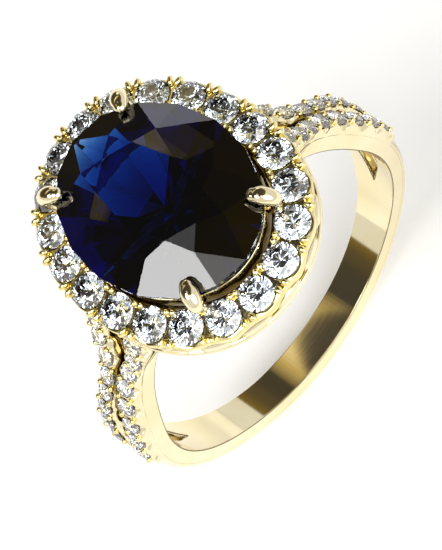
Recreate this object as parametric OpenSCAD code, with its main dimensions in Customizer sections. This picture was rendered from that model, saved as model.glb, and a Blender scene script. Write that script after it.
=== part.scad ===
// Oval sapphire halo ring with a split, stone-set shank.
// The finger hole runs along Y, +Z points up to the sapphire, and the origin
// is the centre of the finger hole. All sizes are in millimetres.

/* [Finger hole] */
// Radius of the finger hole
finger_r = 8.65; // [8.4:0.05:8.9]

/* [Shank] */
// Thickness of the band at its sides, from the finger hole to the outer arc
band_t = 1.45; // [1.2:0.05:1.7]
// How far the outer arc's centre sits above the finger hole's centre
band_lift = 0.15; // [0:0.05:0.25]
// Radius of the round across the band's outside
band_dome_r = 2.9; // [2.6:0.1:6]
// Half the band's width at its lowest point
half_low = 0.97; // [0.8:0.01:1.3]
// Half the band's width at the shoulders, where it is widest
half_shoulder = 1.66; // [1.5:0.01:1.9]
// Half the band's width at the waist under the head
half_waist = 1.11; // [1:0.01:1.3]
// Thickness of the shoulders under the stone-set arms
shelf_t = 0.8; // [0.7:0.05:0.95]

/* [Stone-set arms] */
// Angle from the bottom of the ring at which the arms begin
arm_start = 95.4; // [94:0.2:96]
// Height of an arm's top above the finger hole
arm_t = 1.5; // [1.4:0.05:1.7]
// Number of stones in each arm
arm_stones = 8; // [6:1:8]
// Diameter of an arm's stones
arm_stone_d = 1.06; // [0.9:0.02:1.08]

/* [Halo] */
// Half the halo's width across the finger, to the stones' centres
halo_a = 5.15; // [5:0.05:5.4]
// Half the halo's length along the finger, to the stones' centres
halo_b = 6.27; // [6.1:0.05:6.5]
// Height of the halo's highest point above the finger hole's centre
halo_z = 12.4; // [12.2:0.05:12.8]
// How far the halo falls at its sides
droop_a = 0.55; // [0.3:0.05:0.7]
// How far the halo falls at its ends
droop_b = 0.35; // [0.2:0.05:0.5]
// Diameter of a halo stone
halo_stone_d = 1.7; // [1.5:0.05:1.74]

/* [Centre stone] */
// Half the sapphire's width
gem_a = 4.4; // [4.2:0.05:4.45]
// Half the sapphire's length
gem_b = 5.45; // [5.2:0.05:5.5]
// Height of the sapphire's girdle
gem_z = 13.15; // [13:0.05:13.4]
// Height of the sapphire's crown above its girdle
gem_crown = 1.13; // [0.9:0.01:1.4]
// Depth of the sapphire's pavilion below its girdle
gem_pavilion = 3.9; // [3.5:0.05:4.1]

/* [Hidden] */
halo_count = 20;
halo_power = 2.15;
// The four corners by name, with the side of X and of Y that each is on
corners = [["left_front", -1, -1], ["left_back", -1, 1], ["right_front", 1, -1], ["right_back", 1, 1]];

gold = [0.92, 0.80, 0.45];
diamond_white = [0.93, 0.95, 0.98];
sapphire_blue = [0.03, 0.08, 0.30];

// Clearance between pieces that fit into each other
eps = 0.01;
shelf_r = finger_r + shelf_t;
arm_r = finger_r + arm_t;
shank_end = 162;

// The shank's outline seen along the finger's side: heights of its bulge and waist
bulge_z = 2.7;
waist_z = 6.5;
// The open split between the arms, seen from the side of the hand
split_low = 1;
split_high = 6.2;
split_half = 0.3;
split_least = 0.06;
// The hollow behind the stones, which opens into the finger hole
hollow_low = -3.3;
hollow_wide = 0.2;
hollow_half = 0.72;
hollow_high_half = 0.38;
hollow_t = 0.55;

// An arm leaves the round at arch_start and climbs to the halo at arm_end
arch_start = 130;
arch_rise = 0.0035;
arch_t = 0.9;
arm_end = 150.5;
arm_slabs = 16;
arm_stone_drop = 0.1;
arm_seat_depth = 0.54;
arm_grain_r = 0.14;
arm_grain_across = 0.34;

// The halo's section, across its stones and downwards
halo_in = 0.82;
halo_out = 0.9;
halo_top_drop = 0.05;
halo_t = 0.85;
halo_segments = 44;
halo_seat_depth = 1.1;
grain_r = 0.22;
grain_in = -0.66;
grain_out = 0.74;
grain_apart = 0.19;
// The rail's section under the frame, and its posts
rail_in = 0.25;
rail_out = 0.85;
rail_gap = 0.35;
rail_t = 0.3;
post_half_angle = 6.4;

// The basket's two oval rings
base_a = 3.0;
base_b = 3.7;
base_wide = 0.75;
base_z = 9.0;
base_t = 0.75;
seat_inset = 0.18;
seat_wide = 0.32;
seat_drop = 1.9;
seat_t = 1.35;
// The seat ring's foot, a flat ledge that closes the gap to the halo
ledge_a = 4.31;
ledge_b = 5.41;
ledge_wide = 0.75;
ledge_t = 0.3;

// A claw's centre line from the base ring up and over the sapphire's edge, and its radii
claw_line = [
    [2.0, -2.75, 9.2],
    [2.2, -3.2, 10.2],
    [2.42, -3.7, 11.2],
    [2.66, -4.28, 12.2],
    [2.86, -4.72, 12.9],
    [2.9, -4.82, 13.3],
    [2.76, -4.6, 13.6],
    [2.6, -4.34, 13.72],
    [2.46, -4.12, 13.76]
];
claw_radii = [0.4, 0.39, 0.38, 0.37, 0.36, 0.38, 0.42, 0.42, 0.34];
// Number of the claw's links that stand below the sapphire's edge
claw_stem = 5;

// The sapphire's corners: its table, the two heights of its girdle, and its keel
table_a = 1.86;
table_b = 2.92;
table_bulge = 1.06;
star_z = 0.86;
girdle_high = 0.08;
girdle_low = -0.1;
lower_z = -2.9;
keel_half = 0.35;

function halo_name(i) = str("halo_diamond_", i < 10 ? "0" : "", i);

// 0 below 0, 1 above 1, and smooth in between
function ease(t) = let (u = min(1, max(0, t))) u * u * (3 - 2 * u);
function mix(a, b, t) = a + (b - a) * t;
function unit(v) = v / norm(v);

// Half the shank's width at height z
function half_width(z) =
    z < bulge_z ? mix(half_low, half_shoulder, ease((z + finger_r) / (bulge_z + finger_r)))
    : z < waist_z ? mix(half_shoulder, half_waist, ease((z - bulge_z) / (waist_z - bulge_z)))
    : half_waist + 0.8 * ease((z - waist_z) / 2.5);

// Half the gap between a shoulder's two arms at height z
function half_split(z) =
    z < split_low ? split_least
    : z < split_high
        ? split_least + split_half * pow(sin(180 * (z - split_low) / (split_high - split_low)), 2)
    : split_least + 0.5 * ease((z - split_high - 0.2) / 2);

// Half the width of the hollow behind the stones at height z
function half_hollow(z) =
    z < hollow_wide ? hollow_half * sin(90 * (z - hollow_low) / (hollow_wide - hollow_low))
    : mix(hollow_half, hollow_high_half, ease((z - hollow_wide) / (waist_z - hollow_wide)));

// Radius of an arm's top at an angle from the bottom of the ring
function arm_top(t) = arm_r + arch_rise * pow(max(0, t - arch_start), 2);
function ring_point(r, t, y) = [r * sin(t), y, -r * cos(t)];

// Angle of stone i of an arm, counted up from the band
function arm_angle(i) = let (u = i * 7 / (arm_stones - 1)) arm_start + 3.6 + 8.1 * u - 0.17 * u * u;
function arm_middle(t) = let (z = -arm_top(t) * cos(t)) (half_width(z) + half_split(z)) / 2;
function arm_point(t, drop = 0, across = 0) = ring_point(arm_top(t) - drop, t, -arm_middle(t) + across);

// The halo's stones lie on a rounded oval, evenly spaced along it
function oval_r(t, a, b, p) = pow(pow(abs(cos(t) / a), p) + pow(abs(sin(t) / b), p), -1 / p);
function oval_xy(t, a, b, p) = oval_r(t, a, b, p) * [cos(t), sin(t)];
function halo_top(x, y) = halo_z - droop_a * pow(x / halo_a, 2) - droop_b * pow(y / halo_b, 2);
function halo_up(x, y) = unit([2 * droop_a * x / pow(halo_a, 2), 2 * droop_b * y / pow(halo_b, 2), 1]);
function halo_point(t) = let (p = oval_xy(t, halo_a, halo_b, halo_power)) [p[0], p[1], halo_top(p[0], p[1])];
function oval_out(t, a, b, p) =
    let (d = oval_xy(t + 0.5, a, b, p) - oval_xy(t - 0.5, a, b, p)) unit([d[1], -d[0]]);

// Length along the oval up to each whole step of a degree, for even spacing
step_deg = 1;
lengths = [for (t = 0, s = 0; t <= 360; s = s + norm(oval_xy(t + step_deg, halo_a, halo_b, halo_power)
    - oval_xy(t, halo_a, halo_b, halo_power)), t = t + step_deg) s];
function oval_angle(s) = lookup(s, [for (i = [0:len(lengths) - 1]) [lengths[i], i * step_deg]]);
function halo_angle(i) = oval_angle(lengths[len(lengths) - 1] * (i - 0.5) / halo_count);

// Angle of the gap after stone i, moved on by a length along the oval
function halo_gap(i, along) = let (whole = lengths[len(lengths) - 1])
    oval_angle((whole * i / halo_count + along) % whole);

// ---------------------------------------------------------------- helpers

// Carries a flat outline along X: its first axis becomes Y, its second Z
module along_x(length) { rotate([90, 0, 90]) linear_extrude(length) children(); }
module along_y(length) { rotate([90, 0, 0]) linear_extrude(length, center = true) children(); }
module round_y(r, length) { rotate([90, 0, 0]) cylinder(h = length, r = r, center = true, $fn = 180); }

// Stands a child at point p with its +Z along direction n
module stand(p, n) {
    translate(p)
        rotate([0, acos(n[2] / norm(n)), atan2(n[1], n[0])])
            children();
}

// The flat outline between two edges, each a list of points that runs upwards
function between(left, right) = concat(right, [for (k = [len(left) - 1:-1:0]) left[k]]);
function heights(low, high, step) = [for (z = [low:step:high]) z];

// A pie slice of the ring's plane, between two angles from the bottom
module slice(t0, t1, reach = 16) {
    polygon(concat([[0, 0]], [for (k = [0:6]) let (t = mix(t0, t1, k / 6)) reach * [sin(t), -cos(t)]]));
}

// The convex solid around a list of points
module solid_around(points) {
    hull() polyhedron(points = points, faces = [for (k = [0:len(points) - 3]) [k, k + 1, k + 2]]);
}

// A round brilliant as a convex solid, its girdle on z = 0
module brilliant(d, sides = 8) {
    r = d / 2;
    around = [for (k = [0:sides - 1]) k * 360 / sides];
    half = 180 / sides;
    points = concat(
        [for (t = around) [0.56 * r * cos(t), 0.56 * r * sin(t), 0.32 * r]],
        [for (t = around) [0.79 * r * cos(t + half), 0.79 * r * sin(t + half), 0.19 * r]],
        [for (t = around, e = [0, half], z = [-0.02, 0.03]) [r * cos(t + e), r * sin(t + e), z * r]],
        [[0, 0, -0.86 * r]]
    );
    solid_around(points);
}

// A tapered seat for a brilliant, open at the top
module seat(d, depth, sides) {
    cylinder(h = 1, r = d / 2 + eps, $fn = sides);
    translate([0, 0, -depth])
        cylinder(h = depth + 0.001, r1 = 0.22 * d, r2 = d / 2 + eps, $fn = sides);
}

// ---------------------------------------------------------------- shank

// The plain band's section: flat inside, rounded outside
module band_section() {
    intersection() {
        translate([finger_r - 1, -2])
            square([3, 4]);
        translate([finger_r + band_t - band_dome_r, 0])
            circle(r = band_dome_r, $fn = 90);
    }
}

module plain_band() {
    translate([0, 0, band_lift])
        rotate([90, 0, 0])
            rotate_extrude($fn = 180)
                band_section();
}

module shoulder_blank() {
    intersection() {
        round_y(shelf_r, 4.4);
        union() {
            along_y(5) slice(arm_start, shank_end);
            along_y(5) slice(-arm_start, -shank_end);
        }
    }
}

module shank_hollow() {
    zs = heights(hollow_low + 0.05, 9, 0.35);
    intersection() {
        round_y(finger_r + hollow_t, 4);
        translate([2, 0, 0])
            along_x(8)
                polygon(concat(
                    [[0, hollow_low]],
                    between([for (z = zs) [-half_hollow(z), z]], [for (z = zs) [half_hollow(z), z]])));
    }
}

module shank_split() {
    zs = heights(split_low, 9.1, 0.3);
    translate([2, 0, 0])
        along_x(10)
            polygon(between([for (z = zs) [-half_split(z), z]], [for (z = zs) [half_split(z), z]]));
}

// The outline of the whole shank seen along X
module shank_outline() {
    zs = heights(-10.2, 9, 0.25);
    along_x(24)
        polygon(between([for (z = zs) [-half_width(z), z]], [for (z = zs) [half_width(z), z]]));
}

module shank() {
    color(gold)
        difference() {
            intersection() {
                union() {
                    intersection() {
                        plain_band();
                        along_y(5) slice(-arm_start, arm_start);
                    }
                    shoulder_blank();
                }
                translate([-12, 0, 0])
                    shank_outline();
            }
            round_y(finger_r, 6);
            for (s = [0, 1]) mirror([s, 0, 0]) {
                shank_hollow();
                shank_split();
            }
        }
}

// ---------------------------------------------------------------- arms

// The four corners of an arm's section at an angle from the bottom of the ring
function arm_section(t) =
    let (top = arm_top(t), low = max(shelf_r + eps, top - arch_t), z = -top * cos(t))
    [for (r = [low, top], y = [-half_width(z), -half_split(z)]) ring_point(r, t, y)];

// The arm's bar: convex slabs from one section to the next, round the finger and up the arch
module arm_bar() {
    for (k = [0:arm_slabs - 1])
        solid_around(concat(
            arm_section(mix(arm_start, arm_end, k / arm_slabs)),
            arm_section(mix(arm_start, arm_end, (k + 1) / arm_slabs))));
}

// Direction that a stone of the arm faces: outwards, leaning with the arch
function arm_up(t) =
    let (lean = 0.5 * atan2(2 * arch_rise * max(0, t - arch_start) * 180 / PI, arm_top(t)))
    ring_point(1, t - lean, -0.12);

// Angle of the gap after stone i, where two neighbours share a pair of grains
function arm_gap(i) =
    i < 0 ? arm_angle(0) - 2.7
    : i == arm_stones - 1 ? arm_angle(i) + 2.4
    : (arm_angle(i) + arm_angle(i + 1)) / 2;

module arm_grains() {
    for (i = [-1:arm_stones - 1], side = [-1, 1])
        translate(arm_point(arm_gap(i), 0.03, side * arm_grain_across))
            sphere(r = arm_grain_r, $fn = 8);
}

// Stands a child on the seat of stone i
module on_arm(i) {
    stand(arm_point(arm_angle(i), arm_stone_drop), arm_up(arm_angle(i)))
        children();
}

module right_front_arm() {
    color(gold)
        difference() {
            union() {
                arm_bar();
                arm_grains();
            }
            for (i = [0:arm_stones - 1]) on_arm(i) seat(arm_stone_d, arm_seat_depth, 12);
        }
}

module right_front_diamonds() {
    color(diamond_white)
        for (i = [0:arm_stones - 1]) on_arm(i) brilliant(arm_stone_d, 6);
}

// Turns a right front piece into the one at corner c
module at_corner(c) {
    mirror([c[1] < 0 ? 1 : 0, 0, 0])
        mirror([0, c[2] > 0 ? 1 : 0, 0])
            children();
}

// ---------------------------------------------------------------- halo

// A point on a band that follows the halo: across from the stones' line, and down
function halo_corner(t, across, down) =
    let (p = halo_point(t), n = oval_out(t, halo_a, halo_b, halo_power), q = [p[0], p[1]] + across * n)
    [q[0], q[1], halo_top(q[0], q[1]) - down];

module halo_band(inner, outer, top, bottom) {
    for (k = [0:halo_segments - 1])
        solid_around([for (t = [k, k + 1] * 360 / halo_segments, a = [inner, outer], d = [top, bottom])
            halo_corner(t, a, d)]);
}

function halo_seat(i) = halo_point(halo_angle(i)) - [0, 0, 0.02];
function halo_face(i) = let (p = halo_point(halo_angle(i))) halo_up(p[0], p[1]);

module halo_frame() {
    color(gold)
        difference() {
            union() {
                halo_band(-halo_in, halo_out, halo_top_drop, halo_t);
                halo_grains();
            }
            for (i = [1:halo_count])
                stand(halo_seat(i), halo_face(i))
                    seat(halo_stone_d, halo_seat_depth, 16);
            claws_clear();
        }
}

// Two grains inside and two outside, at every gap between stones
module halo_grains() {
    for (i = [1:halo_count], across = [grain_in, grain_out], pair = [-1, 1])
        translate(halo_corner(halo_gap(i, pair * grain_apart), across, -0.02))
            sphere(r = grain_r, $fn = 6);
}

module halo_rail() {
    color(gold)
        difference() {
            union() {
                halo_band(rail_in, rail_out, halo_t + rail_gap, halo_t + rail_gap + rail_t);
                for (i = [1:halo_count]) halo_post(i);
            }
            claws_clear();
        }
}

// A short post from the rail up to the frame, between two stones
module halo_post(i) {
    reach = [rail_in + 0.04, rail_out - 0.04];
    rise = [halo_t + eps, halo_t + rail_gap + 0.05];
    solid_around([for (e = [-1, 1], a = reach, d = rise)
        halo_corner(halo_gap(i, 0) + e * post_half_angle, a, d)]);
}

// ---------------------------------------------------------------- basket

function ellipse_points(a, b, n = 72) = [for (k = [0:n - 1]) [a * cos(k * 360 / n), b * sin(k * 360 / n)]];

module oval_ring(a, b, wide, z, high) {
    translate([0, 0, z])
        linear_extrude(high)
            difference() {
                polygon(ellipse_points(a, b));
                polygon(ellipse_points(a - wide, b - wide));
            }
}

module basket_base_ring() {
    color(gold)
        difference() {
            oval_ring(base_a, base_b, base_wide, base_z, base_t);
            claws_clear();
        }
}

module basket_seat_ring() {
    color(gold)
        difference() {
            union() {
                oval_ring(gem_a - seat_inset, gem_b - seat_inset, seat_wide, gem_z - seat_drop, seat_t);
                oval_ring(ledge_a, ledge_b, ledge_wide, gem_z - seat_drop, ledge_t);
            }
            claws_clear();
        }
}

// The first links of a claw as rounded bars, grown by a clearance
module claw_links(count, grow) {
    for (k = [0:count - 1])
        hull() {
            translate(claw_line[k]) sphere(r = claw_radii[k] + grow, $fn = 12);
            translate(claw_line[k + 1]) sphere(r = claw_radii[k + 1] + grow, $fn = 12);
        }
}

// Room for the claws through the pieces that they pass
module claws_clear() {
    for (c = corners) at_corner(c) claw_links(claw_stem, eps);
}

module right_front_claw() {
    color(gold)
        difference() {
            claw_links(len(claw_line) - 1, 0);
            gem_body(eps);
        }
}

// ---------------------------------------------------------------- stones

// Corners of the sapphire at an angle: on its girdle, on its table and at its keel
function gem_edge(t, z, grow) = [(gem_a + grow) * cos(t), (gem_b + grow) * sin(t), z];
function gem_table(t, grow) =
    let (bulge = abs(sin(2 * t)) > 0.5 ? table_bulge : 1)
    [table_a * bulge * cos(t), table_b * bulge * sin(t), gem_crown + grow];
function gem_keel(t, grow) = [0, keel_half * (abs(sin(t)) < 0.01 ? 0 : sign(sin(t))), -gem_pavilion - grow];

// The plane of a facet through two points, level across at angle t: its normal and its distance
function facet(t, inner, outer) =
    let (n = cross(outer - inner, [-gem_a * sin(t), gem_b * cos(t), 0]))
    [n, n * inner];

// The point at height z where two such planes meet
function meet(p, q, z) =
    let (
        e = p[1] - p[0][2] * z,
        f = q[1] - q[0][2] * z,
        both = p[0][0] * q[0][1] - p[0][1] * q[0][0]
    )
    [(e * q[0][1] - f * p[0][1]) / both, (f * p[0][0] - e * q[0][0]) / both, z];

// The oval stone as a convex solid with flat kites above and below, grown by a small clearance
module gem_body(grow = 0) {
    around = [for (k = [0:7]) 45 * k];
    crown = [for (t = around) facet(t, gem_table(t, grow), gem_edge(t, girdle_high, grow))];
    pavilion = [for (t = around) facet(t, gem_keel(t, grow), gem_edge(t, girdle_low, grow))];
    points = concat(
        [for (t = around) gem_table(t, grow)],
        [for (k = [0:7]) meet(crown[k], crown[(k + 1) % 8], star_z + grow)],
        [for (k = [0:15], z = [girdle_low, girdle_high]) gem_edge(22.5 * k, z, grow)],
        [for (k = [0:7]) meet(pavilion[k], pavilion[(k + 1) % 8], lower_z - grow)],
        [for (t = [90, 270]) gem_keel(t, grow)]
    );
    translate([0, 0, gem_z])
        solid_around(points);
}

module sapphire() { color(sapphire_blue) gem_body(); }

module halo_diamond(i) {
    color(diamond_white)
        stand(halo_seat(i), halo_face(i))
            brilliant(halo_stone_d);
}

// ---------------------------------------------------------------- nodes

shank();
for (c = corners) at_corner(c) right_front_arm();
halo_frame();
halo_rail();
basket_base_ring();
basket_seat_ring();
for (c = corners) at_corner(c) right_front_claw();
sapphire();
for (i = [1:halo_count]) halo_diamond(i);
for (c = corners) at_corner(c) right_front_diamonds();
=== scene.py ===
"""Engagement ring: an oval sapphire in a halo of diamonds on a split, stone-set gold shank."""

import bpy
import numpy as np
from mathutils import Matrix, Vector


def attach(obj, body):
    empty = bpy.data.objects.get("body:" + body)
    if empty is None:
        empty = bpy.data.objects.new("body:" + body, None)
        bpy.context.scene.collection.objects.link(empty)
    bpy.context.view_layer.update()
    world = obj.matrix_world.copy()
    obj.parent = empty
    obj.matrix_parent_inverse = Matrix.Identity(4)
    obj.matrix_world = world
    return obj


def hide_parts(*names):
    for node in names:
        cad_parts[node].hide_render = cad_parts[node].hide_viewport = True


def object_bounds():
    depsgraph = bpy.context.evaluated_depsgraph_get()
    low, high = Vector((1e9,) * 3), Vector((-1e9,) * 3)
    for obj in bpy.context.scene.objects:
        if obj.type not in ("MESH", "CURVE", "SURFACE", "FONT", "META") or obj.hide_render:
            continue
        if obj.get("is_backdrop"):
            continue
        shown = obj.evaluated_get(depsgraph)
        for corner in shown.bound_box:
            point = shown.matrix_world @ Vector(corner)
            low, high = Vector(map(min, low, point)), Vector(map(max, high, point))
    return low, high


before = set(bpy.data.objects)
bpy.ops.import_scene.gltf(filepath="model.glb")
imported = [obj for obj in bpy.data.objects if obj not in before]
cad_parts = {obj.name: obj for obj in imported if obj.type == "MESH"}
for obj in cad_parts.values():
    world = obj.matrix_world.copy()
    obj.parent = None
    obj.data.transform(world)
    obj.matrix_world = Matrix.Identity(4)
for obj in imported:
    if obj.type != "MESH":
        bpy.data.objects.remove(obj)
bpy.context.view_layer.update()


# ---------------------------------------------------------------- shank
# The band: cast yellow gold, flat inside and gently domed outside. It widens to the shoulders,
# narrows to a waist under the head, and is hollowed out behind the shoulder stones. It is cast
# in one piece with its shoulders, then filed and polished to a mirror.

FINGER_R = 8.65
BAND_T = 1.45
BAND_LIFT = 0.15
BAND_DOME_R = 2.9
SHELF_R = 9.45
ARM_START = 95.4
SHANK_END = 162.0
GOLD_PALE = (0.91, 0.81, 0.55, 1)
GOLD_DEEP = (0.85, 0.73, 0.42, 1)


def ease(t):
    """0 below 0, 1 above 1 and 3u^2 - 2u^3 in between."""
    u = np.clip(t, 0, 1)
    return u * u * (3 - 2 * u)


def half_width(z):
    """Half the shank's width at height z: three eased runs, to the shoulder, the waist and the head."""
    rise = 0.97 + 0.69 * ease((z + 8.65) / 11.35)
    fall = 1.66 - 0.55 * ease((z - 2.7) / 3.8)
    top = 1.11 + 0.8 * ease((z - 6.5) / 2.5)
    return np.where(z < 2.7, rise, np.where(z < 6.5, fall, top))


def half_hollow(z):
    """Half the width of the hollow inside a shoulder: a quarter sine from its point, then a slow taper."""
    tip = 0.72 * np.sin(np.pi / 2 * np.clip((z + 3.3) / 3.5, 0, 1))
    return np.where(z < 0.2, tip, 0.72 - 0.34 * ease((z - 0.2) / 6.3))


def ring_points(rho, theta, y):
    """Points at radius rho and angle theta from the bottom of the ring, at y along the finger."""
    return np.stack([rho * np.sin(theta), y + 0 * rho, -rho * np.cos(theta)], -1)


def runs(*stops):
    """Rows of values that go from each stop to the next: (start, end, count), without the last value."""
    parts = [a[..., None] + (b - a)[..., None] * np.arange(n) / n for a, b, n in stops]
    return np.concatenate(parts, -1)


def skin(name, grid, round_it=False):
    """A closed skin over a grid of points in mm, whose rows are closed loops. The rows follow each
    other, and either come back to the first one or end in a flat cap."""
    rows, cols = grid.shape[:2]
    ids = np.arange(rows * cols).reshape(rows, cols)
    beside = np.roll(ids, -1, 1)
    last = rows if round_it else rows - 1
    ahead, ahead_beside = np.roll(ids, -1, 0), np.roll(beside, -1, 0)
    quads = np.stack([ids, beside, ahead_beside, ahead], -1)[:last].reshape(-1, 4)
    faces = quads.tolist()
    if not round_it:
        faces += [ids[0, ::-1].tolist(), ids[-1].tolist()]
    return solid(name, grid.reshape(-1, 3), faces)


def solid(name, points, faces, smooth=True):
    """A mesh object from points in mm and lists of corners, at the origin and facing outwards."""
    mesh = bpy.data.meshes.new(name)
    mesh.from_pydata((np.asarray(points) * 0.001).tolist(), [], faces)
    mesh.validate()
    mesh.polygons.foreach_set("use_smooth", [smooth] * len(mesh.polygons))
    made = bpy.data.objects.new(name, mesh)
    bpy.context.scene.collection.objects.link(made)
    co = np.zeros(len(mesh.vertices) * 3)
    mesh.vertices.foreach_get("co", co)
    co = co.reshape(-1, 3)
    mesh.calc_loop_triangles()
    tri = np.zeros(len(mesh.loop_triangles) * 3, np.int64)
    mesh.loop_triangles.foreach_get("vertices", tri)
    a, b, c = (co[tri.reshape(-1, 3)[:, k]] for k in range(3))
    if np.einsum("ij,ij->i", a, np.cross(b, c)).sum() < 0:
        mesh.flip_normals()
    return made


def node(tree, kind, **values):
    """A node of a kind with its own values and its sockets' values set."""
    made = tree.nodes.new(kind)
    for key, value in values.items():
        if key.startswith("in_"):
            found = key[3:].replace("_", " ")
            place = int(found) if found.isdigit() else found
            made.inputs[place].default_value = value
        else:
            setattr(made, key, value)
    return made


def metal_surface_group():
    """Polished metal: soft clouds of paler and deeper alloy, faint polishing lines, and their
    roughness and height."""
    group = bpy.data.node_groups.new("polished_metal_surface", "ShaderNodeTree")
    face = group.interface
    for name, kind, value in (
        ("Pale", "NodeSocketColor", GOLD_PALE),
        ("Deep", "NodeSocketColor", GOLD_DEEP),
        ("Gloss", "NodeSocketFloat", 0.08),
        ("Wear", "NodeSocketFloat", 0.04),
    ):
        face.new_socket(name, in_out="INPUT", socket_type=kind).default_value = value
    for name, kind in (
        ("Color", "NodeSocketColor"),
        ("Roughness", "NodeSocketFloat"),
        ("Height", "NodeSocketFloat"),
    ):
        face.new_socket(name, in_out="OUTPUT", socket_type=kind)
    link = group.links.new
    given, out = group.nodes.new("NodeGroupInput"), group.nodes.new("NodeGroupOutput")
    place = node(group, "ShaderNodeTexCoord")
    clouds = node(group, "ShaderNodeTexNoise", in_Scale=420.0, in_Detail=3.0, in_Roughness=0.5)
    link(place.outputs["Object"], clouds.inputs["Vector"])
    tone = node(group, "ShaderNodeMapRange", in_1=0.35, in_2=0.65, in_3=0.0, in_4=0.6)
    link(clouds.outputs["Fac"], tone.inputs["Value"])
    blend = node(group, "ShaderNodeMix", data_type="RGBA")
    link(tone.outputs["Result"], blend.inputs["Factor"])
    link(given.outputs["Pale"], blend.inputs[6])
    link(given.outputs["Deep"], blend.inputs[7])
    link(blend.outputs[2], out.inputs["Color"])
    stretch = node(group, "ShaderNodeMapping", in_Rotation=(0.3, 0.5, 0.2), in_Scale=(500.0, 6500.0, 2600.0))
    link(place.outputs["Object"], stretch.inputs["Vector"])
    lines = node(group, "ShaderNodeTexNoise", in_Scale=1.0, in_Detail=2.0)
    link(stretch.outputs["Vector"], lines.inputs["Vector"])
    wear = node(group, "ShaderNodeMath", operation="MULTIPLY")
    link(lines.outputs["Fac"], wear.inputs[0])
    link(given.outputs["Wear"], wear.inputs[1])
    rough = node(group, "ShaderNodeMath", operation="ADD")
    link(given.outputs["Gloss"], rough.inputs[0])
    link(wear.outputs[0], rough.inputs[1])
    link(rough.outputs[0], out.inputs["Roughness"])
    link(lines.outputs["Fac"], out.inputs["Height"])
    return group


METAL_SURFACE = metal_surface_group()


def metal(name, pale=GOLD_PALE, deep=GOLD_DEEP, gloss=0.07, wear=0.05, relief=0.05, painted_shades=()):
    """A gold finish: the shared polished surface with its own tones, gloss and depth of polishing
    lines. A painted shade is (axes, low, high, tone): the metal is painted dark, standing in for
    shade and dark reflections, where its distance from the origin, measured along those axes, is
    between low and high."""
    made = bpy.data.materials.new(name)
    made.use_nodes = True
    tree = made.node_tree
    shader = tree.nodes["Principled BSDF"]
    surface = node(
        tree, "ShaderNodeGroup", node_tree=METAL_SURFACE,
        in_Pale=pale, in_Deep=deep, in_Gloss=gloss, in_Wear=wear)
    bump = node(tree, "ShaderNodeBump", in_Strength=relief, in_Distance=0.00002)
    shader.inputs["Metallic"].default_value = 1.0
    colour = surface.outputs["Color"]
    # Painted shade and painted dark reflections: each entry darkens the metal in its band of distances
    for axes, low, high, tone in painted_shades:
        place = node(tree, "ShaderNodeTexCoord")
        part = node(tree, "ShaderNodeVectorMath", operation="MULTIPLY", in_1=axes)
        size = node(tree, "ShaderNodeVectorMath", operation="LENGTH")
        inside = node(
            tree, "ShaderNodeMath", operation="COMPARE", in_1=(low + high) / 2, in_2=(high - low) / 2)
        mixed = node(tree, "ShaderNodeMix", data_type="RGBA", in_7=tone)
        tree.links.new(place.outputs["Object"], part.inputs[0])
        tree.links.new(part.outputs[0], size.inputs[0])
        tree.links.new(size.outputs["Value"], inside.inputs[0])
        tree.links.new(inside.outputs[0], mixed.inputs["Factor"])
        tree.links.new(colour, mixed.inputs[6])
        colour = mixed.outputs[2]
    tree.links.new(colour, shader.inputs["Base Color"])
    tree.links.new(surface.outputs["Roughness"], shader.inputs["Roughness"])
    tree.links.new(surface.outputs["Height"], bump.inputs["Height"])
    tree.links.new(bump.outputs["Normal"], shader.inputs["Normal"])
    return made


def shank_grid():
    """For each angle, a loop round the band's section: flat inside with the hollow sunk into it, a
    small round at the inner edges, upright sides, and outside an arc of BAND_DOME_R, or the flat
    shelf under the stones."""
    theta = np.radians(np.arange(-SHANK_END, SHANK_END + 0.01, 0.75))
    across = np.abs(np.degrees(theta))
    edge, lead, wall, deep = 0.05, 0.02, 0.12, 0.5
    z_in = -FINGER_R * np.cos(theta)
    wide_in = half_width(z_in)
    hollow = np.where(z_in > -3.3, half_hollow(z_in), 0.0)
    rim = np.maximum(hollow, 0.3)
    one = np.ones_like(theta)
    inner_y = runs((0 * one, rim - wall, 6), (rim - wall, rim, 6), (rim, wide_in - edge - lead, 8),
                   (wide_in - edge - lead, wide_in - edge, 1))
    inner_rho = FINGER_R + deep * ease((hollow[:, None] - inner_y) / wall) * ease((z_in + 3.3) / 0.6)[:, None]
    turn = np.linspace(0, np.pi / 2, 6)
    edge_y = (wide_in - edge)[:, None] + edge * np.sin(turn)
    edge_rho = FINGER_R + edge - edge * np.cos(turn) + 0 * edge_y
    on_shelf = across > ARM_START
    dome = FINGER_R + BAND_T - BAND_DOME_R + np.sqrt(BAND_DOME_R**2 - np.minimum(wide_in, 1.8) ** 2)
    lift = BAND_LIFT * np.cos(theta)
    side_top = np.where(on_shelf, SHELF_R, dome - lift)
    soft = np.where(on_shelf, 0.002, 0.16)
    side_rho = runs(
        (one * (FINGER_R + edge + lead), side_top - soft - lead, 6),
        (side_top - soft - lead, side_top - soft, 1))
    side_y = half_width(-side_rho * np.cos(theta)[:, None])
    wide_out = half_width(-(side_top - soft) * np.cos(theta))
    out_y = wide_out[:, None] - soft[:, None] * (1 - np.cos(turn))
    out_rho = (side_top - soft)[:, None] + soft[:, None] * np.sin(turn)
    top_y = runs((wide_out - soft, 0 * one, 16))[:, 1:]
    arc = FINGER_R + BAND_T - BAND_DOME_R + np.sqrt(BAND_DOME_R**2 - top_y**2) - lift[:, None]
    top_rho = np.where(on_shelf[:, None], SHELF_R, arc)
    y = np.concatenate([inner_y, edge_y, side_y, out_y, top_y], 1)
    rho = np.concatenate([inner_rho, edge_rho, side_rho, out_rho, top_rho], 1)
    crown = np.where(on_shelf, SHELF_R, FINGER_R + BAND_T - lift)[:, None]
    y = np.concatenate([y, 0 * crown, -y[:, :0:-1]], 1)
    rho = np.concatenate([rho, crown, rho[:, :0:-1]], 1)
    return ring_points(rho, theta[:, None], y)


shank = skin("shank_polished", shank_grid())
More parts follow.
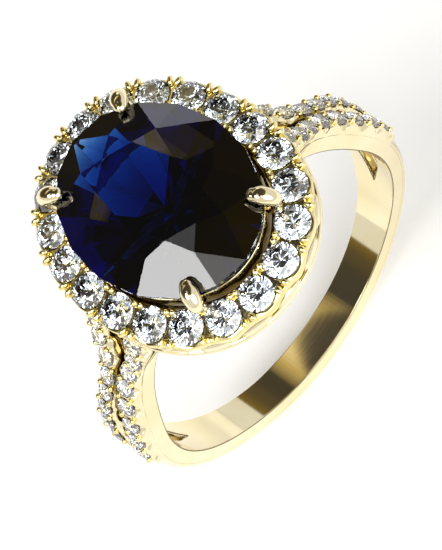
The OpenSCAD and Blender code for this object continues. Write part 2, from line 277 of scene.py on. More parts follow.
# Painted dark reflection along the band's inner edges, and painted shade on the shelf that shows between the
# arms
painted_edge_reflection = ((1, 0, 1), 0.00866, 0.00871, (0.10, 0.07, 0.03, 1))
painted_shelf_shade = ((1, 0, 1), 0.009446, 0.00946, (0.30, 0.21, 0.04, 1))
mirror_gold = metal(
    "mirror_polished_gold", gloss=0.05, wear=0.05, relief=0.01, painted_shades=(painted_edge_reflection, painted_shelf_shade))
shank.data.materials.append(mirror_gold)
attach(shank, "root")
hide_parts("shank")


# ---------------------------------------------------------------- stone-set arms
# Two gold bars on each shoulder, soldered to the shelf and arched up to the halo. Each is drilled
# for eight stones, cut down along its edges, and small grains are raised over the stones' rims.

ARM_R = 10.15
ARM_STONES = 8
ARM_STONE_D = 1.06
ARM_END = 150.5


def half_split(z):
    """Half the gap between a shoulder's two arms at height z: a sine-squared swell, and then it
    opens to the head."""
    swell = 0.06 + 0.3 * np.sin(np.pi * np.clip((z - 1) / 5.2, 0, 1)) ** 2
    return np.where(z < 6.2, swell, 0.06 + 0.5 * ease((z - 6.4) / 2))


def arm_top(degrees):
    """Radius of an arm's top: the round of the shoulder, then a parabola up to the halo."""
    return ARM_R + 0.0035 * np.maximum(0, degrees - 130) ** 2


def arm_middle(degrees):
    """How far along the finger the middle of an arm lies."""
    z = -arm_top(degrees) * np.cos(np.radians(degrees))
    return (half_width(z) + half_split(z)) / 2


def corner(points, x, y):
    """A right front shape's points, mirrored to the corner on side x and side y."""
    return points * np.array([x, -y, 1.0])


CORNERS = {"left_front": (-1, -1), "left_back": (-1, 1), "right_front": (1, -1), "right_back": (1, 1)}
# Angles of an arm's stones from the bottom of the ring, a little closer together towards the head
order = np.arange(ARM_STONES)
ARM_ANGLES = ARM_START + 3.6 + 8.1 * order - 0.17 * order * order


def arm_grid():
    """For each angle, a loop round the bar's section. The top is a height map: it falls to both
    edges, has a cone at every stone and a scallop along its edge, and the bar's foot follows the
    shelf and then the arch."""
    degrees = np.arange(ARM_START, ARM_END + 0.01, 0.2)
    theta = np.radians(degrees)
    top = arm_top(degrees)
    foot = np.maximum(SHELF_R - 0.02, top - 0.9)
    wide, split = half_width(-top * np.cos(theta)), half_split(-top * np.cos(theta))
    share = np.linspace(0, 1, 33)
    y = -(wide[:, None] + (split - wide)[:, None] * share)
    near = np.abs(degrees[:, None] - ARM_ANGLES).argmin(1)
    along = np.radians(degrees - ARM_ANGLES[near]) * top
    aside = y + arm_middle(ARM_ANGLES)[near][:, None]
    far = np.hypot(along[:, None], aside)
    seat = np.clip(1 - far / 0.52, 0, 1)
    edge_out, edge_in = ease(1 - share / 0.22), ease(1 - (1 - share) / 0.16)
    notch = ease(1 - np.abs(along) / 0.44)[:, None]
    cut_out, cut_in = edge_out * (0.08 + 0.32 * notch), edge_in * (0.08 + 0.16 * notch)
    height = top[:, None] - 0.12 - 0.5 * seat - cut_out - cut_in
    lift = np.clip((height - foot[:, None]), 0.03, 9)
    rho = foot[:, None] + lift
    up = np.linspace(0, 1, 5)[:-1]
    outer_rho = foot[:, None] + up * (rho[:, :1] - foot[:, None])
    inner_rho = foot[:, None] + up * (rho[:, -1:] - foot[:, None])
    cos = np.cos(theta)[:, None]
    outer_y = -half_width(-outer_rho * cos)
    inner_y = -half_split(-inner_rho * cos)
    shift = half_width(-top * np.cos(theta)) - half_width(-rho[:, 0] * np.cos(theta))
    top_y = np.where(share < 0.5, y + shift[:, None] * (1 - 2 * share), y)
    loop_rho = np.concatenate([outer_rho, rho, inner_rho[:, ::-1]], 1)
    loop_y = np.concatenate([outer_y, top_y, inner_y[:, ::-1]], 1)
    return ring_points(loop_rho, theta[:, None], loop_y)


def beads(places, axes, rings=7, sides=12):
    """Small grains: at each place a ball (cos b cos a, cos b sin a, sin b) closed at both poles,
    whose three half axes are a number for a round grain or the rows of a 3 x 3 block for a long
    one."""
    axes = np.eye(3) * axes if np.isscalar(axes) else axes
    up = np.linspace(-np.pi / 2, np.pi / 2, rings + 2)[1:-1]
    about = np.arange(sides) * 2 * np.pi / sides
    wide, high = np.cos(up)[:, None], np.sin(up)[:, None]
    ring = np.stack([wide * np.cos(about), wide * np.sin(about), high + 0 * about], -1)
    ball = np.concatenate([[[0, 0, -1.0]], ring.reshape(-1, 3), [[0, 0, 1.0]]])
    ids = 1 + np.arange(rings * sides).reshape(rings, sides)
    beside = np.roll(ids, -1, 1)
    quads = np.stack([ids[:-1], beside[:-1], beside[1:], ids[1:]], -1).reshape(-1, 4)
    low = np.stack([np.zeros(sides, int), beside[0], ids[0]], -1)
    top = np.stack([np.full(sides, rings * sides + 1), ids[-1], beside[-1]], -1)
    points = (places[:, None] + ball @ axes).reshape(-1, 3)
    step = len(ball) * np.arange(len(places))[:, None, None]
    blocks = [(part + step).reshape(-1, part.shape[1]).tolist() for part in (quads, low, top)]
    return points, [face for block in blocks for face in block]


def add(made, points, faces):
    """Joins more closed shapes, in mm, to an object's mesh."""
    old = np.zeros(len(made.data.vertices) * 3)
    made.data.vertices.foreach_get("co", old)
    was = [list(p.vertices) for p in made.data.polygons]
    name = made.name
    bpy.data.objects.remove(made)
    shift = len(old) // 3
    both = np.concatenate([old.reshape(-1, 3) * 1000, points])
    return solid(name, both, was + [[i + shift for i in f] for f in faces])


between = (ARM_ANGLES[1:] + ARM_ANGLES[:-1]) / 2
gaps = np.concatenate([[ARM_ANGLES[0] - 2.7], between, [ARM_ANGLES[-1] + 2.4]])
grain_at = [
    ring_points(arm_top(gaps) - 0.05, np.radians(gaps), -arm_middle(gaps) + side) for side in (-0.36, 0.34)
]
pave_gold = metal("bright_cut_gold", pale=(0.92, 0.80, 0.42, 1), deep=(0.80, 0.64, 0.20, 1),
                  gloss=0.1, wear=0.08, relief=0.12)
# Painted shade: the arms are painted dark within 0.2 mm of the ring's middle line, in the narrow split between
# them
painted_split_shade = ((0, 1, 0), -0.0001, 0.0002, (0.30, 0.21, 0.04, 1))
arm_gold = metal("arm_gold", gloss=0.07, wear=0.05, relief=0.03, painted_shades=(painted_split_shade,))
for place, (x, y) in CORNERS.items():
    bar = arm_grid()
    made = skin(f"{place}_arm_set", corner(bar, x, y))
    points, faces = beads(corner(np.concatenate(grain_at), x, y), 0.16)
    made = add(made, points, faces)
    made.data.materials.append(arm_gold)
    made.data.materials.append(pave_gold)
    grain_faces = np.arange(len(made.data.polygons)) >= len(made.data.polygons) - len(faces)
    made.data.polygons.foreach_set("material_index", grain_faces.astype(np.int32))
    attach(made, "root")
    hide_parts(f"{place}_arm")


# ---------------------------------------------------------------- halo frame
# The oval gold frame that carries the twenty halo stones. It falls a little to its sides and ends,
# is drilled for each stone and scalloped round them, and pairs of grains hold every neighbour.

HALO_A, HALO_B, HALO_Z = 5.15, 6.27, 12.4
DROOP_A, DROOP_B = 0.55, 0.35
HALO_STONES = 20
HALO_STONE_D = 1.7
HALO_POWER = 2.15


def halo_line(t):
    """The stones' line: a rounded oval |x/a|^p + |y/b|^p = 1 at the angle t."""
    x, y = np.abs(np.cos(t) / HALO_A), np.abs(np.sin(t) / HALO_B)
    r = (x**HALO_POWER + y**HALO_POWER) ** (-1 / HALO_POWER)
    return np.stack([r * np.cos(t), r * np.sin(t)], -1)


def halo_top(xy):
    """Height of the frame's domed top: it falls with the square of the distance to each side."""
    return HALO_Z - DROOP_A * (xy[..., 0] / HALO_A) ** 2 - DROOP_B * (xy[..., 1] / HALO_B) ** 2


fine = np.linspace(0, 2 * np.pi, 3601)
run = np.concatenate([[0], np.cumsum(np.linalg.norm(np.diff(halo_line(fine), axis=0), axis=1))])
HALO_RUN = run[-1]


def halo_at(s, across, down):
    """Points beside the stones' line: s along it, across it outwards, and down from the domed top."""
    t = np.interp(s % HALO_RUN, run, fine)
    ahead = halo_line(t + 0.004) - halo_line(t - 0.004)
    out = np.stack([ahead[..., 1], -ahead[..., 0]], -1)
    out /= np.linalg.norm(out, axis=-1, keepdims=True)
    xy = halo_line(t) + np.asarray(across)[..., None] * out
    return np.concatenate([xy, (halo_top(xy) - down)[..., None]], -1)


def halo_grid():
    """For each place along the oval, a loop round the frame's section. The top is a height map with
    a cone at every stone, and it falls at both edges. The outer edge swings in and out once per
    stone, and the underside has a dimple."""
    s = np.arange(900) * HALO_RUN / 900
    pitch = HALO_RUN / HALO_STONES
    along = (s / pitch) % 1 - 0.5
    swing = np.cos(2 * np.pi * along)
    outer = 0.85 + 0.05 * swing
    inner = 0.78 + 0.04 * swing
    share = np.linspace(0, 1, 37)
    across = -inner[:, None] + (outer + inner)[:, None] * share
    far = np.hypot((along * pitch)[:, None], across)
    seat = np.clip(1 - far / 0.84, 0, 1)
    fall_out, fall_in = ease(1 - (1 - share) / 0.14), ease(1 - share / 0.12)
    down = 0.1 + 0.78 * seat + fall_out * (0.1 + 0.06 * swing[:, None]) + fall_in * 0.1
    up = np.linspace(0, 1, 7)[:-1]
    base = 0.9
    wall_out = np.stack([outer - 0.1 * (1 - ease(v / 0.6)) for v in up], 1)
    wall_in = np.stack([inner - 0.1 * (1 - ease(v / 0.6)) for v in up], 1)
    down_out = base + up * (down[:, -1:] - base)
    down_in = base + up * (down[:, :1] - base)
    floor_share = np.linspace(0, 1, 17)[1:-1]
    floor = -wall_in[:, :1] + (wall_out[:, :1] + wall_in[:, :1]) * floor_share
    dimple = np.clip(1 - np.hypot((along * pitch)[:, None], floor) / 0.5, 0, 1)
    loop_across = np.concatenate([across, wall_out[:, ::-1], floor[:, ::-1], -wall_in], 1)
    loop_down = np.concatenate([down, down_out[:, ::-1], base - 0.12 * ease(dimple * 2)[:, ::-1], down_in], 1)
    return halo_at(s[:, None] + 0 * loop_across, loop_across, loop_down)


halo = skin("halo_frame_set", halo_grid(), round_it=True)
joint = np.arange(HALO_STONES) * HALO_RUN / HALO_STONES
zero = 0 * joint
# A row of grains: its place across the frame and along it, and half its length, width and height
GRAINS_IN = (-0.66, 0.17, 0.19, 0.19, 0.2)
GRAINS_OUT = (0.72, 0.19, 0.29, 0.16, 0.21)
for side, apart, long, wide, high in (GRAINS_IN, GRAINS_OUT):
    for way in (-1, 1):
        at = halo_at(joint + way * apart, side + zero, zero)
        out = halo_at(joint, side + 0.1 + zero, zero) - halo_at(joint, side - 0.1 + zero, zero)
        ahead = halo_at(joint + 0.1, side + zero, zero) - halo_at(joint - 0.1, side + zero, zero)
        out += 0.3 * (side > 0) * way * ahead
        out /= np.linalg.norm(out, axis=1, keepdims=True)
        beside = np.cross([0, 0, 1.0], out)
        beside /= np.linalg.norm(beside, axis=1, keepdims=True)
        half_axes = np.stack([long * out, wide * beside, high * np.cross(out, beside)], 1)
        points, faces = beads(at, half_axes, rings=9, sides=16)
        halo = add(halo, points, faces)
halo.data.materials.append(pave_gold)
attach(halo, "root")
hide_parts("halo_frame")


# ---------------------------------------------------------------- halo rail
# A smooth rail under the frame, soldered to it by short posts between the stones, so that light
# reaches them from below. It is drawn wire, bent to the frame's oval and polished.

RAIL_IN, RAIL_OUT, RAIL_HIGH, RAIL_LOW = 0.25, 0.85, 1.2, 1.5


def squared_off(v):
    """A sine or cosine v pushed out to a superellipse of power four: the root of |v| with v's sign."""
    return np.sign(v) * np.abs(v) ** 0.5


def rail_grid():
    """A rounded bar carried round the oval: a superellipse |a|^4 + |b|^4 = 1 for its section."""
    s = np.arange(360) * HALO_RUN / 360
    t = np.arange(24) * 2 * np.pi / 24
    across = (RAIL_IN + RAIL_OUT) / 2 - (RAIL_OUT - RAIL_IN) / 2 * squared_off(np.cos(t))
    down = (RAIL_HIGH + RAIL_LOW) / 2 + (RAIL_LOW - RAIL_HIGH) / 2 * squared_off(np.sin(t))
    return halo_at(s[:, None] + 0 * t, across + 0 * s[:, None], down + 0 * s[:, None])


def post_points(s):
    """A wide post between two small openings: a rounded bar that is longest at its two ends, from
    the rail up into the frame."""
    t = np.arange(28) * 2 * np.pi / 28
    v = np.linspace(0, 1, 7)[:, None]
    flare = 0.66 + 0.17 * (2 * v - 1) ** 2
    along, across = s + flare * squared_off(np.sin(t)), 0.55 + 0.27 * squared_off(np.cos(t)) + 0 * v
    return halo_at(along, across, 0.8 + 0.5 * v + 0 * t)


rail = skin("halo_rail_polished", rail_grid(), round_it=True)
for s in joint:
    post = post_points(s)
    ids = np.arange(post.shape[0] * post.shape[1]).reshape(post.shape[:2])
    beside = np.roll(ids, -1, 1)
    faces = np.stack([ids[:-1], beside[:-1], beside[1:], ids[1:]], -1).reshape(-1, 4).tolist()
    rail = add(rail, post.reshape(-1, 3), faces + [ids[0, ::-1].tolist(), ids[-1].tolist()])
rail.data.materials.append(metal("rail_gold", gloss=0.08, wear=0.05, relief=0.05))
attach(rail, "root")
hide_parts("halo_rail")


# ---------------------------------------------------------------- basket rings
# Two oval gold rings: the base ring joins the claws to the top of the band. The seat ring above it
# bears the sapphire's underside with its thin upright edge, and its foot closes the gap to the halo.

GEM_A, GEM_B, GEM_Z = 4.4, 5.45, 13.15


def oval_ring_grid(a, b, outline, soft=0.04):
    """An outline of (inset, z) corners carried round an ellipse with outer half axes a and b. Every
    corner is cut back by soft and rounded by the curve (1-v)^2 p + 2v(1-v) q + v^2 r."""
    q = np.array(outline, float)
    back, ahead = np.roll(q, 1, 0) - q, np.roll(q, -1, 0) - q
    p = q + soft * back / np.linalg.norm(back, axis=1, keepdims=True)
    r = q + soft * ahead / np.linalg.norm(ahead, axis=1, keepdims=True)
    v = np.linspace(0, 1, 5)[:, None]
    curve = (1 - v) ** 2 * p[:, None] + 2 * v * (1 - v) * q[:, None] + v**2 * r[:, None]
    inset, z = curve.reshape(-1, 2).T
    t = np.arange(180)[:, None] * 2 * np.pi / 180
    return np.stack([(a - inset) * np.cos(t), (b - inset) * np.sin(t), z + 0 * t], -1)


# Painted shade: the basket gold is painted dark from 10.5 to 12.45 mm up, in the deep gap under the halo, so
# only the seat ring's top edge stays bright
painted_gap_shade = ((0, 0, 1), 0.0105, 0.01245, (0.10, 0.07, 0.025, 1))
basket_gold = metal("basket_gold", gloss=0.09, wear=0.06, relief=0.06, painted_shades=(painted_gap_shade,))
# Each ring's section, as corners (inset, z)
BAR = [[0, 9.0], [0, 9.75], [0.75, 9.75], [0.75, 9.0]]
ANGLE = [
    [-0.09, 11.25], [-0.09, 11.55], [0, 11.55], [0, 12.6],
    [0.32, 12.6], [0.32, 11.55], [0.66, 11.55], [0.66, 11.25],
]
for name, sizes in {
    "basket_base_ring": (3.0, 3.7, BAR),
    "basket_seat_ring": (GEM_A - 0.18, GEM_B - 0.18, ANGLE),
}.items():
    wire = skin(f"{name}_polished", oval_ring_grid(*sizes), round_it=True)
    wire.data.materials.append(basket_gold)
    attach(wire, "root")
    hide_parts(name)


# ---------------------------------------------------------------- claws
# Four round gold claws, soldered to the base ring. They rise between the sapphire and the halo,
# and their ends are pushed over the stone's edge and burnished to smooth ovals.

CLAW_LINE = np.array([
    [2.0, -2.75, 9.2], [2.2, -3.2, 10.2], [2.42, -3.7, 11.2], [2.66, -4.28, 12.2], [2.86, -4.72, 12.9],
    [2.9, -4.82, 13.3], [2.76, -4.6, 13.6], [2.6, -4.34, 13.72], [2.46, -4.12, 13.76]])
CLAW_RADII = np.array([0.4, 0.39, 0.38, 0.37, 0.36, 0.38, 0.42, 0.42, 0.34])


def smooth_path(stops, count):
    """A Catmull-Rom curve through the stops, at count even steps."""
    padded = np.concatenate([[2 * stops[0] - stops[1]], stops, [2 * stops[-1] - stops[-2]]])
    v = np.linspace(0, len(stops) - 1 - 1e-9, count)
    k, f = v.astype(int), (v % 1)[:, None]
    p0, p1, p2, p3 = (padded[k + j] for j in range(4))
    square, cube = 2 * p0 - 5 * p1 + 4 * p2 - p3, 3 * p1 - p0 - 3 * p2 + p3
    return 0.5 * (2 * p1 + (p2 - p0) * f + square * f**2 + cube * f**3)


def claw_grid():
    """A profile nine tenths as thick as it is wide, carried along the claw's line. Its tip is domed
    and its foot, in the base ring, is flat."""
    line = smooth_path(CLAW_LINE, 60)
    radius = smooth_path(np.stack([CLAW_RADII] * 3, 1), 60)[:, 0]
    ahead = np.gradient(line, axis=0)
    ahead /= np.linalg.norm(ahead, axis=1, keepdims=True)
    side = np.cross([0.514, -0.857, 0.0], ahead)
    side /= np.linalg.norm(side, axis=1, keepdims=True)
    out = np.cross(ahead, side)
    cap = np.sin(np.linspace(0, np.pi / 2, 8))
    reach = np.cos(np.linspace(0, np.pi / 2, 8))
    end = line[-1] + ahead[-1] * (cap * radius[-1])[:, None]
    line = np.concatenate([line[:-1], end])
    radius = np.concatenate([radius[:-1], radius[-1] * np.maximum(reach, 0.02)])
    side = np.concatenate([side[:-1], np.repeat(side[-1:], 8, 0)])
    out = np.concatenate([out[:-1], np.repeat(out[-1:], 8, 0)])
    t = np.arange(28) * 2 * np.pi / 28
    ring = np.cos(t)[None, :, None] * side[:, None] + 0.9 * np.sin(t)[None, :, None] * out[:, None]
    return line[:, None] + radius[:, None, None] * ring


claw_gold = metal("burnished_claw_gold", gloss=0.06, wear=0.04, relief=0.03)
for place, (x, y) in CORNERS.items():
    claw = skin(f"{place}_claw_burnished", corner(claw_grid(), x, y))
    claw.data.materials.append(claw_gold)
    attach(claw, "root")
    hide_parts(f"{place}_claw")


# ---------------------------------------------------------------- halo diamonds
# Twenty round brilliants of 1.7 mm, cut with fifty-seven facets. Each sits in its drilled seat in
# the halo frame, and the grains at its four corners hold it down.


def stone_surface_group():
    """A cut stone's body colour: very soft zones of two tints through the stone."""
    group = bpy.data.node_groups.new("stone_body_colour", "ShaderNodeTree")
    face = group.interface
    face.new_socket("Light", in_out="INPUT", socket_type="NodeSocketColor")
    face.new_socket("Dark", in_out="INPUT", socket_type="NodeSocketColor")
    face.new_socket("Zones", in_out="INPUT", socket_type="NodeSocketFloat")
    face.new_socket("Color", in_out="OUTPUT", socket_type="NodeSocketColor")
    given, out = group.nodes.new("NodeGroupInput"), group.nodes.new("NodeGroupOutput")
    place = node(group, "ShaderNodeTexCoord")
    cloud = node(group, "ShaderNodeTexNoise", in_Detail=2.0)
    blend = node(group, "ShaderNodeMix", data_type="RGBA")
    group.links.new(place.outputs["Object"], cloud.inputs["Vector"])
    group.links.new(given.outputs["Zones"], cloud.inputs["Scale"])
    group.links.new(cloud.outputs["Fac"], blend.inputs["Factor"])
    group.links.new(given.outputs["Light"], blend.inputs[6])
    group.links.new(given.outputs["Dark"], blend.inputs[7])
    group.links.new(blend.outputs[2], out.inputs["Color"])
    return group


STONE_SURFACE = stone_surface_group()


def gem(name, light, dark, zones, ior):
    """A transparent cut stone: smooth facets, its refractive index, and the shared body colour."""
    made = bpy.data.materials.new(name)
    made.use_nodes = True
    tree = made.node_tree
    shader = tree.nodes["Principled BSDF"]
    body = node(tree, "ShaderNodeGroup", node_tree=STONE_SURFACE, in_Light=light, in_Dark=dark, in_Zones=zones)
    tree.links.new(body.outputs["Color"], shader.inputs["Base Color"])
    shader.inputs["Roughness"].default_value = 0.0
    shader.inputs["IOR"].default_value = ior
    shader.inputs["Transmission Weight"].default_value = 1.0
    return made


def brilliant():
    """A round brilliant of radius 1: table, star, kite and girdle rings above, and below them the
    lower halves' ring and the point. Every kite is flat, because its side corners lie in the plane
    of its two ends."""
    table, crown, star, tip, lower, deep = 0.55, 0.33, 0.79, 0.02, 0.22, 0.86
    k = np.arange(8) * np.pi / 4
    h = k + np.pi / 8
    g = np.arange(16) * np.pi / 8
    star_z = tip + (crown - tip) * (1 - star * np.cos(np.pi / 8)) / (1 - table)
    lower_z = -tip - (deep - tip) * (1 - lower * np.cos(np.pi / 8))
    ring = lambda r, t, z: np.stack([r * np.cos(t), r * np.sin(t), z + 0 * t], 1)
    points = np.concatenate([
        ring(table, k, crown), ring(star, h, star_z), ring(1, g, tip),
        ring(1, g, -tip), ring(lower, h, lower_z), [[0, 0, -deep]]])
    # First corner of the table, stars, upper girdle, lower girdle and lower halves, and the point
    T, S, G, B, L, C = 0, 8, 16, 32, 48, 56
    faces = [list(range(8))]
    for i in range(8):
        j, before = (i + 1) % 8, (i - 1) % 8
        a, m, b = 2 * i, 2 * i + 1, (2 * i + 2) % 16
        faces += [[T + i, S + i, T + j], [T + i, S + before, G + a, S + i]]
        faces += [[S + i, G + a, G + m], [S + i, G + m, G + b]]
        faces += [[G + a, B + a, B + m, G + m], [G + m, B + m, B + b, G + b]]
        faces += [[L + i, B + m, B + a], [L + i, B + b, B + m], [C, L + i, B + a, L + before]]
    return points, faces


def stood(points, place, up):
    """Points stood at a place with their +Z along up."""
    up = np.asarray(up) / np.linalg.norm(up)
    side = np.cross([0.0, 1.0, 0.0] if abs(up[1]) < 0.9 else [1.0, 0.0, 0.0], up)
    side /= np.linalg.norm(side)
    return points @ np.stack([side, np.cross(up, side), up]) + place


white = gem("diamond_clear", (0.86, 0.93, 1.0, 1), (0.76, 0.87, 1.0, 1), 900.0, 2.42)
cut, cut_faces = brilliant()
middle = (np.arange(HALO_STONES) + 0.5) * HALO_RUN / HALO_STONES
centre = halo_at(middle, np.zeros(HALO_STONES), np.full(HALO_STONES, 0.02))
fall_x, fall_y = 2 * DROOP_A * centre[:, 0] / HALO_A**2, 2 * DROOP_B * centre[:, 1] / HALO_B**2
lean = np.stack([fall_x, fall_y, np.ones(HALO_STONES)], 1)
for i in range(HALO_STONES):
    spin = 0.7 * i
    spun = cut @ np.array([[np.cos(spin), np.sin(spin), 0], [-np.sin(spin), np.cos(spin), 0], [0, 0, 1]])
    points = stood(spun * HALO_STONE_D / 2, centre[i], lean[i])
    stone = solid(f"halo_diamond_{i + 1:02d}_cut", points, cut_faces, smooth=False)
    stone.data.materials.append(white)
    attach(stone, "root")
    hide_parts(f"halo_diamond_{i + 1:02d}")


# ---------------------------------------------------------------- arm diamonds
# Thirty-two round brilliants of about 1 mm, eight to an arm, seated side by side and held by the
# shared grains between them.

small_white = gem("diamond_small_clear", (1.0, 1.0, 1.0, 1), (0.93, 0.97, 1.0, 1), 900.0, 2.42)
slope = 2 * 0.0035 * np.maximum(0, ARM_ANGLES - 130) * 180 / np.pi
lean_by = np.arctan2(slope, arm_top(ARM_ANGLES)) / 2
seat_at = ring_points(arm_top(ARM_ANGLES) - 0.1, np.radians(ARM_ANGLES), -arm_middle(ARM_ANGLES))
face_to = ring_points(np.ones(ARM_STONES), np.radians(ARM_ANGLES) - lean_by, np.full(ARM_STONES, -0.12))
for place, (x, y) in CORNERS.items():
    parts = [stood(cut * ARM_STONE_D / 2, seat_at[i], face_to[i]) for i in range(ARM_STONES)]
    faces = [[v + i * len(cut) for v in f] for i in range(ARM_STONES) for f in cut_faces]
    stones = solid(f"{place}_diamonds_cut", corner(np.concatenate(parts), x, y), faces, smooth=False)
    stones.data.materials.append(small_white)
    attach(stones, "root")
    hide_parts(f"{place}_diamonds")


# ---------------------------------------------------------------- sapphire
# The oval sapphire of 8.8 by 10.9 mm: a low crown with a small table, eight kites, stars and upper
# halves, and a deep cut pavilion below. It is so dark a blue that it looks black off its window.


def sapphire_shape():
    """An oval brilliant: rings of corners at eight directions. A kite's side corners lie where its
    plane meets its neighbour's, at a given height, so every kite is flat."""
    k = np.arange(8) * np.pi / 4
    g = np.arange(16) * np.pi / 8
    table_a, table_b, crown, top, low = 1.86, 2.92, 1.13, 0.08, -0.1
    bulge = np.where(np.arange(8) % 2 == 1, 1.06, 1.0)
    table = np.stack([table_a * bulge * np.cos(k), table_b * bulge * np.sin(k), np.full(8, crown)], 1)
    girdle = lambda z: np.stack([GEM_A * np.cos(g), GEM_B * np.sin(g), np.full(16, z)], 1)
    tips = girdle(top)[::2]
    level = np.stack([-GEM_A * np.sin(k), GEM_B * np.cos(k), 0 * k], 1)

    def ridge(inner, outer, along, z):
        """The points at height z where each plane, through inner, outer and the level line along,
        meets the next one."""
        n = np.cross(outer - inner, along)
        d = (n * inner).sum(1)
        n2, d2 = np.roll(n, -1, 0), np.roll(d, -1)
        a = np.stack([n, n2, np.tile([0, 0, 1.0], (8, 1))], 1)
        return np.linalg.solve(a, np.stack([d, d2, z], 1)[..., None])[..., 0]

    star = ridge(table, tips, level, np.full(8, 0.86))
    foot = np.stack([0 * k, 0.35 * np.sign(np.round(np.sin(k), 6)), 0 * k - 3.9], 1)
    lower = ridge(foot, girdle(low)[::2], level, np.full(8, -2.9))
    return np.concatenate([table, star, girdle(top), girdle(low), lower, [[0, 0.35, -3.9], [0, -0.35, -3.9]]])


def sapphire_faces():
    """A round brilliant's facets with a short keel in place of the point. The eight pavilion mains
    come in order: the two at the sides reach both ends of the keel, the others the nearer one."""
    back, front = 56, 57
    ends = iter([[front, back], [back], [back], [back], [back, front], [front], [front], [front]])
    faces = []
    for face in cut_faces:
        if face[0] == back:
            first, *last = next(ends)
            face = [first, *face[1:], *last]
        faces.append(face)
    return faces


blue = gem("sapphire_deep_blue", (0.62, 0.74, 0.96, 1), (0.45, 0.58, 0.88, 1), 260.0, 1.77)
water = node(blue.node_tree, "ShaderNodeVolumeAbsorption", in_Color=(0.02, 0.45, 0.76, 1), in_Density=2000.0)
blue.node_tree.links.new(water.outputs[0], blue.node_tree.nodes["Material Output"].inputs["Volume"])
sapphire = solid("sapphire_cut", sapphire_shape() + [0, 0, GEM_Z], sapphire_faces(), smooth=False)
sapphire.data.materials.append(blue)
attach(sapphire, "root")
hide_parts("sapphire")


# ---------------------------------------------------------------- studio
# A plain white table under the ring, a pale room with a dark screen over it, five softboxes, and a
# fan of strip lights behind the ring.

FLOOR_Z = -9.95
table_top = bpy.data.meshes.new("white_table")
TABLE_R = 1.5
PAPER_PALE, PAPER_GREY = (0.93, 0.93, 0.93, 1), (0.90, 0.90, 0.90, 1)
about = np.arange(64) * 2 * np.pi / 64
edge = np.stack([np.cos(about), np.sin(about), 0 * about], 1) * TABLE_R + [0, 0, FLOOR_Z * 0.001]
table_top.from_pydata(edge.tolist(), [], [list(range(64))])
floor = bpy.data.objects.new("white_table", table_top)
bpy.context.scene.collection.objects.link(floor)
paper = bpy.data.materials.new("white_paper")
paper.use_nodes = True
tree = paper.node_tree
shader = tree.nodes["Principled BSDF"]
grain = node(tree, "ShaderNodeTexNoise", in_Scale=900.0, in_Detail=3.0)
sheet = node(tree, "ShaderNodeMix", data_type="RGBA", in_6=PAPER_PALE, in_7=PAPER_GREY)
tree.links.new(grain.outputs["Fac"], sheet.inputs["Factor"])
tree.links.new(sheet.outputs[2], shader.inputs["Base Color"])
tree.links.new(sheet.outputs[2], shader.inputs["Emission Color"])
shader.inputs["Emission Strength"].default_value = 0.18
shader.inputs["Roughness"].default_value = 0.9
shader.inputs["Specular IOR Level"].default_value = 0.0
floor.data.materials.append(paper)
floor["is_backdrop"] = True

# The room is pale up to the screen's edge and dark past it, and seen directly it is plain white
SCREEN_TOWARD = (0.0, 0.552, 0.834)
SCREEN_TONES = (
    (0.495, (0.18, 0.125, 0.03, 1)),
    (0.62, (0.10, 0.08, 0.045, 1)),
    (0.75, (0.065, 0.057, 0.045, 1)),
)
room = bpy.data.worlds.new("pale_room")
bpy.context.scene.world = room
room.use_nodes = True
sky = room.node_tree
where = node(sky, "ShaderNodeTexCoord")
toward = node(sky, "ShaderNodeVectorMath", operation="DOT_PRODUCT", in_1=SCREEN_TOWARD)
shade = node(sky, "ShaderNodeValToRGB")
shade.color_ramp.interpolation = "EASE"
tones = shade.color_ramp.elements
tones[0].position, tones[0].color = 0.475, (0.82, 0.82, 0.82, 1)
tones[1].position, tones[1].color = 1.0, (0.055, 0.052, 0.05, 1)
for at, tone in SCREEN_TONES:
    tones.new(at).color = tone
sky.links.new(where.outputs["Generated"], toward.inputs[0])
sky.links.new(toward.outputs["Value"], shade.inputs["Fac"])
seen = node(sky, "ShaderNodeLightPath")
backdrop = node(sky, "ShaderNodeMix", data_type="RGBA", in_7=(0.95, 0.95, 0.95, 1))
sky.links.new(seen.outputs["Is Camera Ray"], backdrop.inputs["Factor"])
sky.links.new(shade.outputs["Color"], backdrop.inputs[6])
sky.links.new(backdrop.outputs[2], sky.nodes["Background"].inputs["Color"])


SOFTBOX_FAR = 0.6


def placed(sides, place):
    """A world matrix from three axes, given as columns, and a place in metres."""
    return Matrix(np.vstack([np.column_stack([sides, place]), [0, 0, 0, 1]]).tolist())


def softbox(name, direction, degrees, radiance):
    """A round softbox seen from the ring in a direction, with that angular radius and radiance."""
    lamp = bpy.data.lights.new(name, "AREA")
    lamp.shape = "DISK"
    lamp.size = 2 * SOFTBOX_FAR * np.tan(np.radians(degrees))
    lamp.energy = radiance * np.pi * np.pi * (lamp.size / 2) ** 2
    made = bpy.data.objects.new(name, lamp)
    bpy.context.scene.collection.objects.link(made)
    up = np.asarray(direction, float) / np.linalg.norm(direction)
    side = np.cross([0.0, 1.0, 0.0], up)
    side /= np.linalg.norm(side)
    made.matrix_world = placed(np.column_stack([side, np.cross(up, side), up]), up * SOFTBOX_FAR)
    made.visible_camera = False


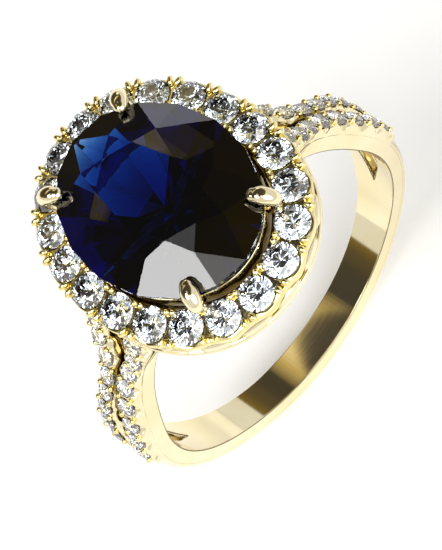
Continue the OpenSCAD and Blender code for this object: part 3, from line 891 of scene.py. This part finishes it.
# All but the front one are narrow, so that each is mirrored by only a few of the sapphire's facets
softbox("key_softbox", (-0.56, -0.03, 0.83), 15, 7.5)
softbox("front_softbox", (0.02, -0.80, 0.60), 24, 2.8)
softbox("back_softbox", (0.64, 0.71, 0.31), 9, 1.2)
softbox("low_softbox", (-0.17, -0.41, 0.90), 8, 1.4)
softbox("top_softbox", (-0.17, 0.08, 0.98), 8, 0.6)

# Overlapping strips, each wider than the one before, so that their reflection in the band fades out
# from pale to golden. Each hangs a little above the last, because lights in one plane hide each other.
STRIPS = 10
STRIP_DEEP, STRIP_WIDER, STRIP_HIGHER = 0.010, 0.006, 0.0003
STRIP_PALE, STRIP_GOLDEN = (1.0, 0.97, 0.90), (1.0, 0.76, 0.28)
STRIP_RADIANCE = 0.11
for k in range(STRIPS):
    strip = bpy.data.lights.new(f"strip_{k}", "AREA")
    strip.shape, strip.size, strip.size_y = "RECTANGLE", STRIP_DEEP + STRIP_WIDER * k, STRIP_DEEP
    strip.color = STRIP_PALE if k < STRIPS // 2 else STRIP_GOLDEN
    strip.energy = STRIP_RADIANCE * np.pi * strip.size * strip.size_y
    hung = bpy.data.objects.new(f"strip_{k}", strip)
    bpy.context.scene.collection.objects.link(hung)
    hung.location = (0.007, 0.0305, 0.040 + STRIP_HIGHER * k)
    hung.visible_camera = False

# Azimuth, elevation and roll in degrees, and the camera's place along its own axes in mm
CAMERA_ANGLES = (-5.06, 61.65, 49.46)
CAMERA_PLACE = (-1.928, 0.672, 114.417)
lens = bpy.data.cameras.new("camera")
lens.lens = 150.55
lens.sensor_width = 36
lens.clip_start, lens.clip_end = 0.005, 20
camera = bpy.data.objects.new("camera", lens)
bpy.context.scene.collection.objects.link(camera)
bpy.context.scene.camera = camera
azimuth, elevation, roll = np.radians(CAMERA_ANGLES)
about_z = lambda t: np.array([[np.cos(t), -np.sin(t), 0], [np.sin(t), np.cos(t), 0], [0, 0, 1]])
about_x = lambda t: np.array([[1, 0, 0], [0, np.cos(t), -np.sin(t)], [0, np.sin(t), np.cos(t)]])
axes = about_z(roll) @ about_x(elevation - np.pi / 2) @ about_z(-azimuth)
camera.matrix_world = placed(axes.T, axes.T @ np.array(CAMERA_PLACE) * 0.001)
bpy.context.scene.view_settings.view_transform = "Standard"

low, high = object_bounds()
